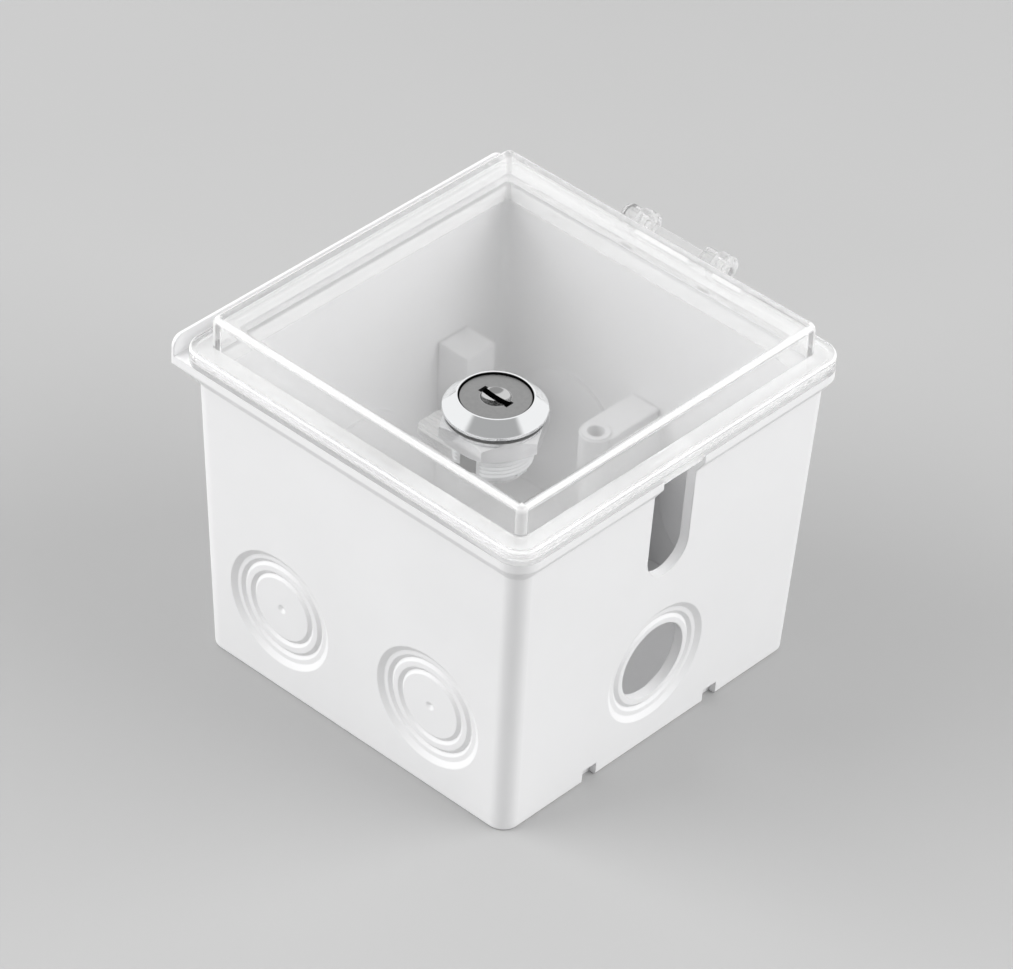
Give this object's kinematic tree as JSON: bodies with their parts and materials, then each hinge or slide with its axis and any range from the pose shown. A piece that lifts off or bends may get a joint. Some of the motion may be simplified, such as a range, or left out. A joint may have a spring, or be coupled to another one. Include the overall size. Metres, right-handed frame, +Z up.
{
  "type": "lockable junction box",
  "caption": "Small square wiring box with a clear hinged lid, a cam lock, a rain visor, knockout entries and an open cable slot.",
  "frame": {"origin": "middle of the flat underside of the base box", "axes": "+X from the visor side to the side with the cable slot, +Y from the front to the hinge, +Z up"},
  "size_m": [0.1073, 0.1137, 0.0967],
  "materials": {
    "white_abs": "satin moulded",
    "clear_pc": "clear polished",
    "clear_pin": "clear",
    "chrome": "polished",
    "nut_chrome": "plated",
    "face_steel": "matt",
    "plug_zinc": "die cast, plated",
    "zinc_steel": "zinc plated",
    "cam_steel": "nickel plated",
    "spring_steel": "bright",
    "wafer_brass": "stamped"
  },
  "bodies": {
    "box": {"base_box": "white_abs", "cover_frame": "clear_pc", "hinge_pin": "clear_pin"},
    "lid": {"lid": "clear_pc", "lock_housing": "chrome", "lock_nut": "nut_chrome", "lock_washer": "zinc_steel"},
    "plug": {"lock_plug": "plug_zinc", "plug_cap": "face_steel", "wafer_springs": "spring_steel", "stop_washer": "zinc_steel", "cam": "cam_steel", "cam_spring_washer": "spring_steel", "cam_screw": "zinc_steel"},
    "wafer_1": {"wafer_1": "wafer_brass"},
    "wafer_2": {"wafer_2": "wafer_brass"},
    "wafer_3": {"wafer_3": "wafer_brass"},
    "wafer_4": {"wafer_4": "wafer_brass"},
    "wafer_5": {"wafer_5": "wafer_brass"},
    "wafer_6": {"wafer_6": "wafer_brass"},
    "wafer_7": {"wafer_7": "wafer_brass"}
  },
  "joints": [
    {"name": "lid_hinge", "type": "hinge", "parent": "box", "child": "lid", "pos_m": [0, 0.0569, 0.0849], "axis": [-1, 0, 0], "range_deg": [0, 110]},
    {"name": "lock_turn", "type": "hinge", "parent": "lid", "child": "plug", "pos_m": [0.0192, -0.0268, 0.09], "axis": [0, 0, 1], "range_deg": [0, 90]},
    {"name": "wafer_1_slide", "type": "slide", "parent": "plug", "child": "wafer_1", "axis": [1, 0, 0], "range_m": [0, 0.0006]},
    {"name": "wafer_2_slide", "type": "slide", "parent": "plug", "child": "wafer_2", "axis": [1, 0, 0], "range_m": [0, 0.0006]},
    {"name": "wafer_3_slide", "type": "slide", "parent": "plug", "child": "wafer_3", "axis": [1, 0, 0], "range_m": [0, 0.0006]},
    {"name": "wafer_4_slide", "type": "slide", "parent": "plug", "child": "wafer_4", "axis": [1, 0, 0], "range_m": [0, 0.0006]},
    {"name": "wafer_5_slide", "type": "slide", "parent": "plug", "child": "wafer_5", "axis": [1, 0, 0], "range_m": [0, 0.0006]},
    {"name": "wafer_6_slide", "type": "slide", "parent": "plug", "child": "wafer_6", "axis": [1, 0, 0], "range_m": [0, 0.0006]},
    {"name": "wafer_7_slide", "type": "slide", "parent": "plug", "child": "wafer_7", "axis": [1, 0, 0], "range_m": [0, 0.0006]}
  ],
  "couplings": [
    {"joint": "wafer_2_slide", "follows": "wafer_1_slide", "ratio": 1},
    {"joint": "wafer_3_slide", "follows": "wafer_1_slide", "ratio": 1},
    {"joint": "wafer_4_slide", "follows": "wafer_1_slide", "ratio": 1},
    {"joint": "wafer_5_slide", "follows": "wafer_1_slide", "ratio": 1},
    {"joint": "wafer_6_slide", "follows": "wafer_1_slide", "ratio": 1},
    {"joint": "wafer_7_slide", "follows": "wafer_1_slide", "ratio": 1}
  ]
}
